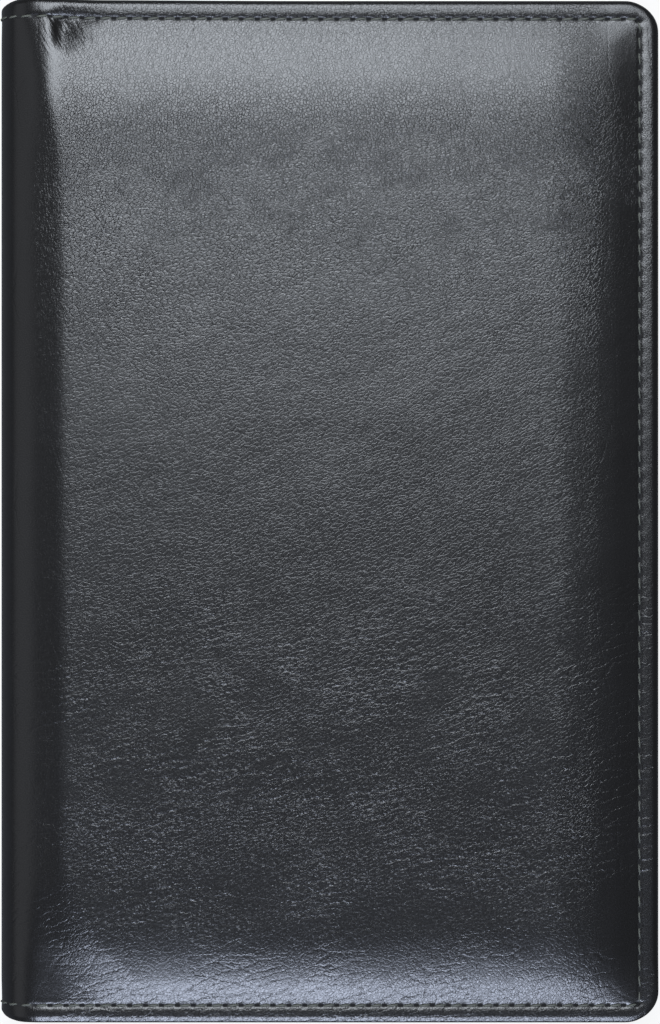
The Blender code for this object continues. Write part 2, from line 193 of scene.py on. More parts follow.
# Each zone below is where something starts to grow or to fade, and over what distance.
# From the cover's end, or from any edge:
PINCH_INWARDS = (3.6, 6.4)
PINCH_FADE = (6.4, 4.9)
PADDING_PINCH_FADE = (5.4, 1.5)
RIDGE_START = (0, 3)
RIDGE_FADE = (4, 6)
UNEVEN_FROM_EDGE = (4, 8)
# From the spine's outermost line:
UNEVEN_FROM_SPINE = (9, 8)
PRESSED_START = (9, 1.4)
PRESSED_FADE = (14, 8)
REACH_FADE = (6, 13)
LOWER_START = (10, 50)
# From the middle height:
LOWER_ALONG = (-90, 180)

# How far the camera stands from the middle, in metres, and how bright the floor looks.
CAMERA_ASIDE = (0.00024, -0.00019)
FLOOR_GLOW = 0.85


def clamp(value):
    return min(max(value, 0.0), 1.0)


def ease(value):
    """A soft step from 0 to 1."""
    t = clamp(value)
    return t * t * (3 - 2 * t)


def rise(distance, start, reach):
    """Goes softly from 0 to 1, from the start and over the reach."""
    return ease((distance - start) / reach)


def fade(distance, start, reach):
    """Goes softly from 1 to 0, from the start and over the reach."""
    return 1 - rise(distance, start, reach)


def change(distance, first, added, start, reach):
    """A value that goes softly from first to first plus added, from the start and over the reach."""
    return first + added * rise(distance, start, reach)


def swell(inset, run, power):
    """How far a padded panel has risen, from 0 at its seam to 1 at the end of the run."""
    return 1 - (1 - clamp(inset / run)) ** power


def bell(distance, width):
    return math.exp(-((distance / width) ** 2))


class CardHolderSizes(bpy.types.PropertyGroup):
    """Sizes of the soft pieces."""

    crown: FloatProperty(
        name="Crown",
        description="How far the padding lifts the middle of a cover",
        default=(PANEL_TOP - SPINE_RADIUS) * MM,
        unit="LENGTH",
    )
    crown_run: FloatProperty(
        name="Crown run",
        description="How far in from the seam the padding reaches its full height",
        default=0.016,
        unit="LENGTH",
    )
    roll: FloatProperty(
        name="Rolled edge",
        description="Radius of the hide's rolled edge",
        default=0.0013,
        unit="LENGTH",
    )
    seam_inset: FloatProperty(
        name="Seam inset",
        description="Distance of the stitches from the edge",
        default=0.0033,
        unit="LENGTH",
    )
    seam_depth: FloatProperty(
        name="Seam depth",
        description="How far the stitches pull the hide down",
        default=0.00017,
        unit="LENGTH",
    )
    hide_thickness: FloatProperty(
        name="Hide thickness", description="Thickness of the leather", default=0.00085, unit="LENGTH"
    )
    fore_stitches: IntProperty(
        name="Fore edge stitches", description="Stitches along the fore edge of a cover", default=62
    )
    end_stitches: FloatProperty(
        name="End stitches",
        description="Stitches along one end, from the corner to the middle of the spine",
        default=41.5,
    )
    thread: FloatProperty(
        name="Thread", description="Thickness of the sewing thread", default=0.00045, unit="LENGTH"
    )


class CardHolderColours(bpy.types.PropertyGroup):
    """Colours and finish."""

    leather: FloatVectorProperty(
        name="Leather",
        description="Colour of the hide",
        subtype="COLOR",
        size=3,
        default=(0.0055, 0.0055, 0.0062),
    )
    gloss: FloatProperty(
        name="Leather roughness", description="Roughness of the hide's finish", default=0.29
    )
    grain: FloatProperty(
        name="Grain depth",
        description="Depth of the leather's fine grain",
        default=0.0000187,
        unit="LENGTH",
    )
    thread: FloatVectorProperty(
        name="Thread",
        description="Colour of the sewing thread",
        subtype="COLOR",
        size=3,
        default=(0.135, 0.143, 0.122),
    )
    lining: FloatVectorProperty(
        name="Lining",
        description="Colour of the woven lining",
        subtype="COLOR",
        size=3,
        default=(0.016, 0.016, 0.018),
    )
    vinyl: FloatVectorProperty(
        name="Vinyl",
        description="Colour of the booklet's flaps and binding",
        subtype="COLOR",
        size=3,
        default=(0.02, 0.02, 0.022),
    )


class CardHolderStudio(bpy.types.PropertyGroup):
    """Camera and lamps."""

    distance: FloatProperty(
        name="Camera distance",
        description="Height of the camera over the case's edges",
        default=0.85,
        unit="LENGTH",
    )
    frame_height: FloatProperty(
        name="Frame height",
        description="Height of what the camera takes in",
        default=0.19538,
        unit="LENGTH",
    )
    top_light: FloatProperty(
        name="Top light", description="Brightness of the large soft box over the top end", default=7.1
    )
    bottom_light: FloatProperty(
        name="Bottom light",
        description="Brightness of the soft box over the bottom end",
        default=13.6,
    )
    spine_light: FloatProperty(
        name="Spine light", description="Brightness of the dim panel beside the spine", default=0.3
    )
    fill: FloatProperty(name="Fill", description="Brightness of the surroundings", default=0.08)


def sizes():
    """The sizes in millimetres, by name."""
    group = bpy.context.scene.card_holder_sizes
    lengths = "crown crown_run roll seam_inset seam_depth hide_thickness thread".split()
    return {name: getattr(group, name) / MM for name in lengths}


class Seam:
    """The line of stitches round a cover, from the middle of the spine to the fore edge and back."""

    def __init__(self):
        group = bpy.context.scene.card_holder_sizes
        self.inset = group.seam_inset / MM
        self.corner_run = EDGE_RUN - self.inset
        self.corner_height = HALF_HEIGHT - self.inset
        self.end_pitch = self.corner_run / group.end_stitches
        self.fore_pitch = 2 * self.corner_height / group.fore_stitches
        self.end_count = int(group.end_stitches + 0.5)
        self.fore_count = group.fore_stitches

    def phase(self, run, height):
        """How many stitches a place is from the nearest corner, and how far it is in from the seam."""
        fore, end = EDGE_RUN - run, HALF_HEIGHT - abs(height)
        if fore < end:
            return (self.corner_height - abs(height)) / self.fore_pitch, fore - self.inset
        return (self.corner_run - run) / self.end_pitch, end - self.inset

    def pitch(self, run, height):
        return self.fore_pitch if EDGE_RUN - run < HALF_HEIGHT - abs(height) else self.end_pitch


def corner_radius(inset, seam_inset):
    """The corner is round at the edge and nearly square at the seam."""
    if inset < seam_inset:
        return CORNER_RADIUS + (SEAM_CORNER - CORNER_RADIUS) * inset / seam_inset
    return max(SEAM_CORNER * (1 - (inset - seam_inset) / SEAM_CORNER_REACH), 0.0)


def round_corner(fore, end, seam_inset):
    """Insets from the fore edge and the end, with the corner rounded and the edge turned under."""
    near, far = min(fore, end), max(fore, end)
    if near >= 0:
        inset = near
        radius = reach = corner_radius(near, seam_inset)
    else:
        inset = max(-near - WALL, 0.0)
        radius, reach = CORNER_RADIUS - inset, CORNER_RADIUS - near
    if far - near >= reach:
        pair = (inset, far)
    else:
        angle = math.radians(45) * (1 - (far - near) / reach)
        pair = (inset + radius * (1 - math.cos(angle)), inset + radius * (1 - math.sin(angle)))
    return pair if fore <= end else (pair[1], pair[0])


class HideShape:
    """Where the outer face of one cover's hide lies."""

    def __init__(self, front):
        self.front = front
        self.size = sizes()
        self.seam = Seam()

    def crown(self, across, fore, end, height):
        """Height of the padded panel, whose spine side starts further in near the ends."""
        size = self.size
        inset = size["seam_inset"] + PAD_GAP
        starts, runs = PAD_AT_TOP if height > 0 else PAD_AT_BOTTOM
        start, run = change(end, *starts), change(end, *runs)
        lift = size["crown"] * rise(across, start, run)
        edges = ((fore, FORE_SWELL), (end, BOTTOM_SWELL if height < 0 else TOP_SWELL))
        for distance, (added, power) in edges:
            lift *= swell(distance - inset, size["crown_run"] + added, power)
        if self.front and height > 0:
            lift *= 1 - PINCH_OF_PADDING * self.pinch(across, end) * fade(end, *PADDING_PINCH_FADE)
        return lift

    def pinch(self, across, end):
        """Share of the place where the hide is pulled in beside the spine's top end."""
        start, reach = PINCH_INWARDS
        inwards = clamp((end - start) / reach)
        aside = across - PINCH_ACROSS - PINCH_LEAN * inwards
        return bell(aside, PINCH_WIDTH if aside < 0 else PINCH_FAR_WIDTH + PINCH_WIDENING * inwards)

    def seam_dip(self, near, phase, pitch, share):
        """How far the rim, the seam and each stitch hole lie under the panel's plane."""
        size = self.size
        inset = size["seam_inset"]
        depth = size["seam_depth"] * share
        lowest = inset + GROOVE_PAST_SEAM
        if near < lowest:
            dip = depth * rise(near, GROOVE_START, lowest - GROOVE_START)
        else:
            dip = depth * fade(near, lowest, GROOVE_RISE)
        along = abs(phase - round(phase)) * pitch
        dip += HOLE_DEPTH * share * bell(along, HOLE_LENGTH) * bell(near - inset, HOLE_WIDTH)
        pucker = PUCKER_DEPTH * share * math.cos(2 * math.pi * phase)
        return dip + pucker * bell(near - inset + PUCKER_OUTWARDS, PUCKER_WIDTH)

    def folds(self, across, end, height):
        """The pinched fold beside the spine's top end, and the panel's slight unevenness."""
        lift = 0.0
        if self.front and height > 0:
            fall = PINCH_DEPTH * swell(end - PINCH_FROM_END, PINCH_FALL, 1.5)
            lift -= fall * fade(end, *PINCH_FADE) * self.pinch(across, end)
            ridge = RIDGE_HEIGHT * bell(across - RIDGE_ACROSS, RIDGE_WIDTH)
            lift += ridge * rise(end, *RIDGE_START) * fade(end, *RIDGE_FADE)
        inside = rise(end, *UNEVEN_FROM_EDGE) * rise(across, *UNEVEN_FROM_SPINE)
        inside *= rise(WIDTH - across, *UNEVEN_FROM_EDGE)
        spot = Vector((across / SWELL_SIZE, height / SWELL_SIZE, 3.0 if self.front else 9.0))
        lift += inside * UNEVENNESS * noise.noise(spot)
        return lift

    def point(self, run, height):
        """A point of the hide in millimetres. Its run is counted round the spine from its middle."""
        size = self.size
        fore, end = EDGE_RUN - run, HALF_HEIGHT - abs(height)
        near = min(fore, end)
        fore_in, end_in = round_corner(fore, end, size["seam_inset"])
        if run < SPINE_RUN:
            angle = run / SPINE_RADIUS
            across = SPINE_RADIUS * (1 - math.cos(angle))
            out = Vector((-math.cos(angle), 0, math.sin(angle)))
            level = Vector((across, 0, SPINE_RADIUS * math.sin(angle)))
        else:
            across = WIDTH - fore_in
            out = Vector((0, 0, 1))
            level = Vector((across, 0, SPINE_RADIUS))
        foot = change(across, *LINING_STEP)
        phase = self.seam.phase(run, height)[0]
        pitch = self.seam.pitch(run, height)
        share = change(across, *SEAM_SHARE)
        depth = 0.0
        at_bottom = ease((-height - HALF_HEIGHT + BOTTOM_ZONE) / BOTTOM_FADE)
        roll = size["roll"] * (1 - BOTTOM_ROLL_LOSS * at_bottom)
        if near < 0:
            drop = roll + BOTTOM_DROP * at_bottom
            depth = drop + clamp(-near / WALL) * (SPINE_RADIUS - drop - foot)
        elif near < roll:
            t = 1 - near / roll
            depth = roll * (1 - math.sqrt(max(1 - t * t, 0.0)))
        if near >= 0:
            depth += RIM_LEAN * at_bottom * max(RIM_WIDTH - near, 0.0)
        if near > 0:
            depth += self.seam_dip(near, phase, pitch, share)
            if self.front and height > 0:
                pressed = rise(across, *PRESSED_START) * fade(across, *PRESSED_FADE)
                past = near - size["seam_inset"] - GROOVE_PAST_SEAM
                slope = ease(1 + past / PRESSED_OUTWARDS) if past < 0 else fade(past, 0, PRESSED_INWARDS)
                depth += PRESSED_DEPTH * pressed * slope
            depth -= self.crown(across, fore, end, height) + self.folds(across, end, height)
        place = level - out * depth
        turn = 1 - clamp(across / DRAWN_ACROSS)
        pull = DRAWN_BACK * (1 - math.sqrt(1 - turn * turn))
        pull *= (1 - clamp(max(end, 0.0) / DRAWN_ALONG)) ** 2
        if self.front and height > 0:
            pull -= TOP_REACH * fade(across, *REACH_FADE) * fade(end, *RIDGE_FADE)
        place.x += BULGE * (clamp(1 - fore_in / size["seam_inset"]) - clamp(1 - across / SPINE_RADIUS))
        place.y = math.copysign(HALF_HEIGHT - end_in - pull, height)
        lower = LOWER_AT_FORE * rise(across, *LOWER_START) + LOWER_INSIDE * rise(near, 0, LOWER_RIM)
        place.y -= lower * rise(height, *LOWER_ALONG)
        return place

    def normal(self, run, height, step=0.1):
        """Direction in which the hide faces."""
        along = self.point(run + step, height) - self.point(run - step, height)
        up = self.point(run, height + step) - self.point(run, height - step)
        return along.cross(up).normalized()

    def to_frame(self, place):
        """A place in millimetres as a point of the frame, turned over for the back cover."""
        z = MIDDLE + (place.z if self.front else -place.z)
        return Vector((place.x * MM + CASE_LOW.x, place.y * MM, z * MM))


SEAM_LINES = [
    4.4, 4.05, 3.8, 3.6, 3.45, 3.3, 3.15, 3.0, 2.8, 2.5, 2.2, 1.9, 1.6, 1.3, 1.05, 0.8, 0.58, 0.38, 0.2,
    0.08, 0.0,
]
WALL_LINES = [-0.5, -1.1, -WALL, -WALL - 0.5, -WALL - TURN_UNDER]


def run_lines(seam):
    """Runs of the mesh lines across a cover: a third of a stitch apart, and closer at the seam."""
    step = seam.end_pitch / 3
    count = int(round(seam.corner_run / step))
    lines = [0.0, 0.06]
    lines += [seam.corner_run - k * step for k in range(count - 1, 1, -1)]
    lines += [EDGE_RUN - inset for inset in SEAM_LINES + WALL_LINES]
    return lines


def height_lines(seam):
    """Heights of the mesh lines along a cover."""
    step = seam.fore_pitch / 3
    count = int(round(seam.corner_height / step))
    upper = [k * step for k in range(1, count - 1)]
    upper += [HALF_HEIGHT - inset for inset in SEAM_LINES + WALL_LINES]
    return [-line for line in reversed(upper)] + [0.0] + upper


def finish_piece(bm, name, material, smooth=True):
    """Puts a bmesh into a new object with its normals outwards."""
    mesh = bpy.data.meshes.new(name)
    for face in bm.faces:
        face.smooth = smooth
    bm.to_mesh(mesh)
    bm.free()
    mesh.materials.append(material)
    piece = bpy.data.objects.new(name, mesh)
    bpy.context.scene.collection.objects.link(piece)
    return piece


def grid_sheet(columns, rows, *attributes):
    """A flat grid with those lines, the column and row of each vertex, and its empty attributes."""
    bm = bmesh.new()
    layers = [bm.verts.layers.float_vector.new(name) for name in attributes]
    bmesh.ops.create_grid(bm, x_segments=len(columns) - 1, y_segments=len(rows) - 1, size=1.0)
    places = []
    for vertex in bm.verts:
        column = round((vertex.co.x + 1) / 2 * (len(columns) - 1))
        row = round((vertex.co.y + 1) / 2 * (len(rows) - 1))
        places.append((vertex, columns[column], rows[row]))
    return bm, places, layers


def spine_bend(piece):
    """Bakes the piece's placement into its mesh; the piece is not made to bend."""
    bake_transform(piece)


class Recipe:
    """A material and the nodes that make its pattern."""

    def __init__(self, name, space="3D", **settings):
        self.space = space
        self.material = bpy.data.materials.new(name)
        self.material.use_nodes = True
        self.nodes = self.material.node_tree.nodes
        self.links = self.material.node_tree.links
        self.shader = self.nodes["Principled BSDF"]
        self.set(self.shader, **settings)

    def set(self, node, **settings):
        """Gives sockets their values or links; a double underscore in a name stands for a space."""
        for name, value in settings.items():
            socket = node.inputs[int(name[1:])] if name[0] == "i" and name[1:].isdigit() else None
            if socket is None:
                socket = node.inputs[name.replace("_", " ")]
            if isinstance(value, bpy.types.NodeSocket):
                self.links.new(value, socket)
            elif socket.type == "RGBA" and len(value) == 3:
                socket.default_value = (*value, 1.0)
            else:
                socket.default_value = value

    def add(self, kind, traits=None, **settings):
        node = self.nodes.new("ShaderNode" + kind)
        for name, value in (traits or {}).items():
            setattr(node, name, value)
        self.set(node, **settings)
        return node

    def math(self, operation, first, second=0.0, third=0.0, hold=False):
        traits = {"operation": operation, "use_clamp": hold}
        return self.add("Math", traits, i0=first, i1=second, i2=third).outputs[0]

    def attribute(self, name):
        return self.add("Attribute", {"attribute_name": name}).outputs["Vector"]

    def stretch(self, vector, turn, along, across, depth=1.0):
        """Coordinates counted in pieces of that length along a direction, and that width across it."""
        return self.add(
            "Mapping",
            {"vector_type": "TEXTURE"},
            Vector=vector,
            Rotation=(0, 0, math.radians(turn)),
            Scale=(along, across, depth),
        ).outputs[0]

    def drift(self, place, scale, reach):
        """A place pushed about by a soft noise, up to half that reach each way."""
        traits = {"noise_dimensions": self.space}
        wander = self.add("TexNoise", traits, Vector=place, Scale=scale, Detail=2.0).outputs["Color"]
        turned = {"operation": "SUBTRACT"}
        push = self.add("VectorMath", turned, i0=wander, i1=(0.5, 0.5, 0.5)).outputs[0]
        added = {"operation": "MULTIPLY_ADD"}
        return self.add("VectorMath", added, i0=push, i1=(reach, reach, 0.0), i2=place).outputs[0]

    def noise(self, vector, scale=1.0, detail=2.0, roughness=0.5):
        traits = {"noise_dimensions": self.space}
        settings = {"Scale": scale, "Detail": detail, "Roughness": roughness}
        return self.add("TexNoise", traits, Vector=vector, **settings).outputs[0]

    def cracks(self, vector, scale, width):
        """1 inside the cells of a cracked pattern, falling to 0 at its cracks."""
        traits = {"feature": "DISTANCE_TO_EDGE", "voronoi_dimensions": self.space}
        cells = self.add("TexVoronoi", traits, Vector=vector, Scale=scale)
        return self.ramp(cells.outputs["Distance"], 0.0, width)

    def ramp(self, value, low, high, start=0.0, end=1.0):
        traits = {"interpolation_type": "SMOOTHSTEP"}
        settings = {"i1": low, "i2": high, "i3": start, "i4": end}
        return self.add("MapRange", traits, i0=value, **settings).outputs[0]

    def blend(self, share, first, second):
        """Numbers mixed by share."""
        return self.add("Mix", {"data_type": "FLOAT"}, i0=share, i2=first, i3=second).outputs[0]

    def tint(self, share, first, second):
        """Colours mixed by share."""
        mix = self.add("Mix", {"data_type": "RGBA"})
        self.set(mix, i0=share, i6=first, i7=second)
        return mix.outputs[2]

    def bump(self, height, distance, under=None):
        node = self.add("Bump", Height=height, Distance=distance)
        if under is not None:
            self.links.new(under, node.inputs["Normal"])
        return node.outputs[0]


# Cracked patterns of the leather: the cells' angle, length and width, and the width of the cracks.
CELLS = {
    "slanted": (31, 1.3, 0.6, 0.2),
    "pebbles": (60, 0.66, 0.52, 0.18),
    "upright": (92, 1.7, 0.5, 0.25),
    "dense": (50, 0.8, 0.55, 0.25),
}

# Between the first two heights, the grain is multiplied by a number that goes from the third to the fourth.
GRAIN_LEVELS = [
    (18.0, 60.0, 0.96, 1.72),
    (74.0, 85.0, 1.0, 0.44),
    (45.0, 62.0, 0.82, 1.0),
    (-45.0, -20.0, 1.28, 1.0),
    (-80.0, -62.0, 0.74, 1.0),
]


def leather_finish():
    """Black glazed leather: cells between fine cracks, a smooth spine, and stitch holes painted near-black
    as painted shade.
    """
    colours = bpy.context.scene.card_holder_colours
    seam = Seam()
    r = Recipe("glazed leather", space="2D", Specular_IOR_Level=1.0)
    place = r.attribute("hide_place")
    parts = r.add("SeparateXYZ", Vector=place)
    run, height = parts.outputs[:2]
    stitch = r.add("SeparateXYZ", Vector=r.attribute("seam_place"))
    moved = r.drift(r.drift(place, 0.05, 3.0), 1.1, 0.8)

    cells = {
        name: r.cracks(r.stretch(moved, turn, along, across), 1.0, width)
        for name, (turn, along, across, width) in CELLS.items()
    }
    fine = r.noise(place, scale=4.0, detail=2.0)
    waves = r.noise(r.stretch(moved, 26, 8.0, 3.4), detail=1.0)
    creases = r.cracks(r.stretch(moved, 96, 30.0, 9.0), 1.0, 0.03)
    flow = r.cracks(r.stretch(moved, 14, 6.0, 1.9), 1.0, 0.13)
    patches = r.ramp(r.noise(place, scale=0.07, detail=2.0), 0.35, 0.62)

    smooth_spine = r.ramp(run, 7.5, 11.5, 0.1, 1.0)
    patchy = r.math("MULTIPLY_ADD", r.noise(place, scale=0.12, detail=2.0), 60.0, height)
    grain = r.blend(r.ramp(run, EDGE_RUN - 19.0, EDGE_RUN - 11.0), cells["slanted"], cells["dense"])
    grain = r.blend(r.ramp(patchy, 80.0, 102.0), grain, cells["pebbles"])
    grain = r.blend(r.ramp(patchy, 2.0, -28.0), grain, cells["dense"])
    upright = r.math("MULTIPLY", cells["upright"], r.ramp(height, 35.0, 75.0, 0.75, 0.45))
    grain = r.blend(r.ramp(run, 18.0, 13.0), grain, upright)
    grain = r.math("MULTIPLY_ADD", fine, 0.7, grain)
    for start, end, low, high in GRAIN_LEVELS:
        grain = r.math("MULTIPLY", grain, r.ramp(height, start, end, low, high))
    fore_side = r.ramp(run, EDGE_RUN - 24.0, EDGE_RUN - 15.0)
    stronger = r.math("MULTIPLY", fore_side, r.ramp(height, 30.0, 60.0, 0.1, 0.7))
    beside_seam = r.ramp(run, EDGE_RUN - 13.0, EDGE_RUN - 9.5)
    beside_seam = r.blend(beside_seam, r.math("ADD", stronger, 1.0), 0.43)
    grain = r.math("MULTIPLY", grain, r.math("MULTIPLY", smooth_spine, beside_seam))
    flow = r.math("MULTIPLY", flow, r.math("MULTIPLY", patches, r.ramp(height, 5.0, -30.0)))
    pinch = (SPINE_RUN + 5.6, HALF_HEIGHT - 5.5, 0.0)
    from_pinch = r.add("VectorMath", {"operation": "DISTANCE"}, i0=place, i1=pinch).outputs["Value"]
    wrinkles = r.noise(r.stretch(place, -58, 5.0, 0.8), detail=2.0)
    wrinkles = r.math("MULTIPLY", wrinkles, r.ramp(from_pinch, 7.5, 3.5))

    along = r.math("FRACT", r.math("ADD", stitch.outputs[0], 0.5))
    from_hole = r.math("MULTIPLY", r.math("ABSOLUTE", r.math("SUBTRACT", along, 0.5)), seam.end_pitch)
    off_seam = r.math("ABSOLUTE", stitch.outputs[1])
    # Painted shade: the stitch holes get a near-black colour and full roughness to stand in for the shade
    # inside them, weaker near the spine.
    hole_shade = r.math("MULTIPLY", r.ramp(from_hole, 0.6, 0.38), r.ramp(off_seam, 0.38, 0.2))
    hole_shade = r.math("MULTIPLY", hole_shade, r.ramp(run, 9.0, 12.0, 0.45, 1.0))

    normal = None
    depths = (0.00004, 0.00001, 0.000025, 0.00014, colours.grain)
    for pattern, depth in zip((waves, creases, flow, wrinkles, grain), depths):
        normal = r.bump(pattern, depth, normal)

    shade = r.ramp(r.noise(place, scale=0.05, detail=3.0), 0.3, 0.7)
    colour = r.tint(shade, [c * 0.85 for c in colours.leather], [c * 1.15 for c in colours.leather])
    # Painted shade in the stitch holes.
    colour = r.tint(hole_shade, colour, (0.001, 0.001, 0.001))
    gloss = r.ramp(fine, 0.3, 0.7, colours.gloss - 0.03, colours.gloss + 0.04)
    gloss = r.blend(hole_shade, gloss, 1.0)
    r.set(r.shader, Base_Color=colour, Roughness=gloss, Normal=normal)
    return r.material


def thread_finish():
    """Waxed dark thread with a twist."""
    colours = bpy.context.scene.card_holder_colours
    r = Recipe("sewing thread", Roughness=0.6)
    place = r.add("TexCoord").outputs["Object"]
    twist = r.noise(r.stretch(place, 0, 0.0002, 0.0002, 0.0002), detail=2.0)
    colour = r.tint(twist, [c * 0.6 for c in colours.thread], [c * 1.4 for c in colours.thread])
    r.set(r.shader, Base_Color=colour, Normal=r.bump(twist, 0.00004))
    return r.material


def lining_finish():
    """Plain woven lining."""
    colours = bpy.context.scene.card_holder_colours
    r = Recipe("woven lining", Roughness=0.8, Sheen_Weight=0.2)
    place = r.attribute("cloth_place")
    parts = r.add("SeparateXYZ", Vector=place)
    warp = r.math("SINE", r.math("MULTIPLY", parts.outputs[0], 2 * math.pi / 0.45))
    weft = r.math("SINE", r.math("MULTIPLY", parts.outputs[1], 2 * math.pi / 0.45))
    weave = r.math("MULTIPLY", warp, weft)
    slub = r.noise(r.stretch(place, 0, 6.0, 0.4), detail=2.0)
    colour = r.tint(
        r.math("MULTIPLY_ADD", weave, 0.25, slub, hold=True),
        [c * 0.6 for c in colours.lining],
        [c * 1.5 for c in colours.lining],
    )
    r.set(r.shader, Base_Color=colour, Normal=r.bump(weave, 0.00005))
    return r.material


def board_finish():
    """Grey bookbinder's board."""
    r = Recipe("grey board", Roughness=0.9)
    place = r.add("TexCoord").outputs["Object"]
    fibre = r.noise(r.stretch(place, 20, 0.003, 0.0006, 0.001), detail=4.0, roughness=0.7)
    colour = r.tint(fibre, (0.16, 0.15, 0.135), (0.3, 0.28, 0.25))
    r.set(r.shader, Base_Color=colour, Normal=r.bump(fibre, 0.00005))
    return r.material


def foam_finish():
    """Dark open foam."""
    r = Recipe("padding foam", Roughness=0.95)
    place = r.add("TexCoord").outputs["Object"]
    cells = r.add("TexVoronoi", Vector=place, Scale=1600.0).outputs["Distance"]
    colour = r.tint(cells, (0.02, 0.02, 0.022), (0.09, 0.09, 0.095))
    r.set(r.shader, Base_Color=colour, Normal=r.bump(cells, 0.0002))
    return r.material


def vinyl_finish(name, colour, roughness, cell):
    """Embossed vinyl: the booklet's flaps and binding, and the sleeves."""
    r = Recipe(name)
    place = r.add("TexCoord").outputs["Object"]
    pebbles = r.cracks(r.stretch(place, 40, cell * 1.3, cell, cell), 1.0, 0.25)
    shade = r.noise(place, scale=60.0, detail=3.0)
    mixed = r.tint(shade, [c * 0.8 for c in colour], [c * 1.25 for c in colour])
    gloss = r.ramp(shade, 0.3, 0.7, roughness - 0.05, roughness + 0.07)
    r.set(r.shader, Base_Color=mixed, Roughness=gloss, Normal=r.bump(pebbles, 0.00003))
    return r.material


def film_finish():
    """Clear pocket film, a little hazy, with faint flow lines."""
    r = Recipe("clear film", IOR=1.45, Transmission_Weight=1.0)
    r.set(r.shader, Base_Color=(0.93, 0.95, 0.97))
    place = r.add("TexCoord").outputs["Object"]
    haze = r.noise(r.stretch(place, 0, 0.006, 0.05, 0.01), detail=3.0)
    gloss = r.ramp(haze, 0.3, 0.75, 0.08, 0.22)
    r.set(r.shader, Roughness=gloss, Normal=r.bump(haze, 0.00008))
    return r.material


def dress_node(name, material):
    """Gives a carried-over node its finish."""
    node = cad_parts[name]
    for holder in node.material_slots:
        holder.link = "OBJECT"
        holder.material = material


class CARDHOLDER_OT_hide(bpy.types.Operator):
    """Make the leather of both covers, each with its half of the spine"""

    bl_idname = "card_holder.hide"
    bl_label = "Hide"

    def execute(self, context):
        material = leather_finish()
        for side in ("front", "back"):
            shape = HideShape(side == "front")
            seam = shape.seam
            bm, places, (hide_place, seam_place) = grid_sheet(
                run_lines(seam), height_lines(seam), "hide_place", "seam_place"
            )
            for vertex, run, height in places:
                vertex.co = shape.to_frame(shape.point(run, height))
                phase, off = seam.phase(run, height)
                vertex[hide_place] = Vector((run, height, 0.0))
                vertex[seam_place] = Vector((phase, off, 0.0))
            if side == "back":
                bmesh.ops.reverse_faces(bm, faces=bm.faces)
            piece = finish_piece(bm, side + "_hide", material)
            thicken = piece.modifiers.new("thickness", "SOLIDIFY")
            thicken.thickness = context.scene.card_holder_sizes.hide_thickness
            thicken.offset = -1.0
            spine_bend(piece)
            nodes = [side + "_leather"] + (["spine_leather"] if side == "front" else [])
            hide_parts(*nodes)
        return {"FINISHED"}


class CARDHOLDER_OT_stitches(bpy.types.Operator):
    """Make the stitches round both covers and across the spine"""

    bl_idname = "card_holder.stitches"
    bl_label = "Stitches"

    def stitch(self, bm, shape, start, end, thick):
        """One stitch between two holes, given as run and height, dipping into the hide at both ends."""
        a, b = shape.point(*start), shape.point(*end)
        middle = ((start[0] + end[0]) / 2, (start[1] + end[1]) / 2)
        out = shape.normal(*middle)
        along = (b - a).normalized()
        out = (out - along * out.dot(along)).normalized()
        aside = out.cross(along)
        centre = shape.point(*middle)
        length = (b - a).length
        made = bmesh.ops.create_uvsphere(bm, u_segments=8, v_segments=7, radius=0.5)
        for vertex in made["verts"]:
            x, y, z = vertex.co.z * 2, vertex.co.x * 2, vertex.co.y * 2
            stretched = math.copysign(abs(x) ** STITCH_BLUNTNESS, x)
            drop = STITCH_DIP * abs(stretched) ** 3
            slant = STITCH_SLANT * stretched
            place = centre + along * (stretched * length * STITCH_REACH) + aside * (y * thick * 0.5 + slant)
            place += out * (z * thick * STITCH_HALF_HEIGHT + thick * STITCH_LIFT - drop)
            vertex.co = shape.to_frame(place)

    def execute(self, context):
        material = thread_finish()
        for side in ("front", "back"):
            shape = HideShape(side == "front")
            seam = shape.seam
            thick = shape.size["thread"]
            bm = bmesh.new()
            for sign in (1, -1):
                for k in range(seam.end_count):
                    runs = [seam.corner_run - (k + step) * seam.end_pitch for step in (0, 1)]
                    if runs[1] < 0 and side == "back":
                        continue
                    ends = [(run, sign * seam.corner_height) for run in runs]
                    self.stitch(bm, shape, *ends, thick)
            for k in range(seam.fore_count):
                heights = [seam.corner_height - (k + step) * seam.fore_pitch for step in (0, 1)]
                ends = [(seam.corner_run, height) for height in heights]
                self.stitch(bm, shape, *ends, FORE_THREAD * thick)
            bmesh.ops.recalc_face_normals(bm, faces=bm.faces)
            piece = finish_piece(bm, side + "_stitches", material)
            spine_bend(piece)
            nodes = [side + "_thread"]
            if side == "front":
                nodes += ["spine_thread_top", "spine_thread_bottom"]
            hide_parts(*nodes)
        return {"FINISHED"}


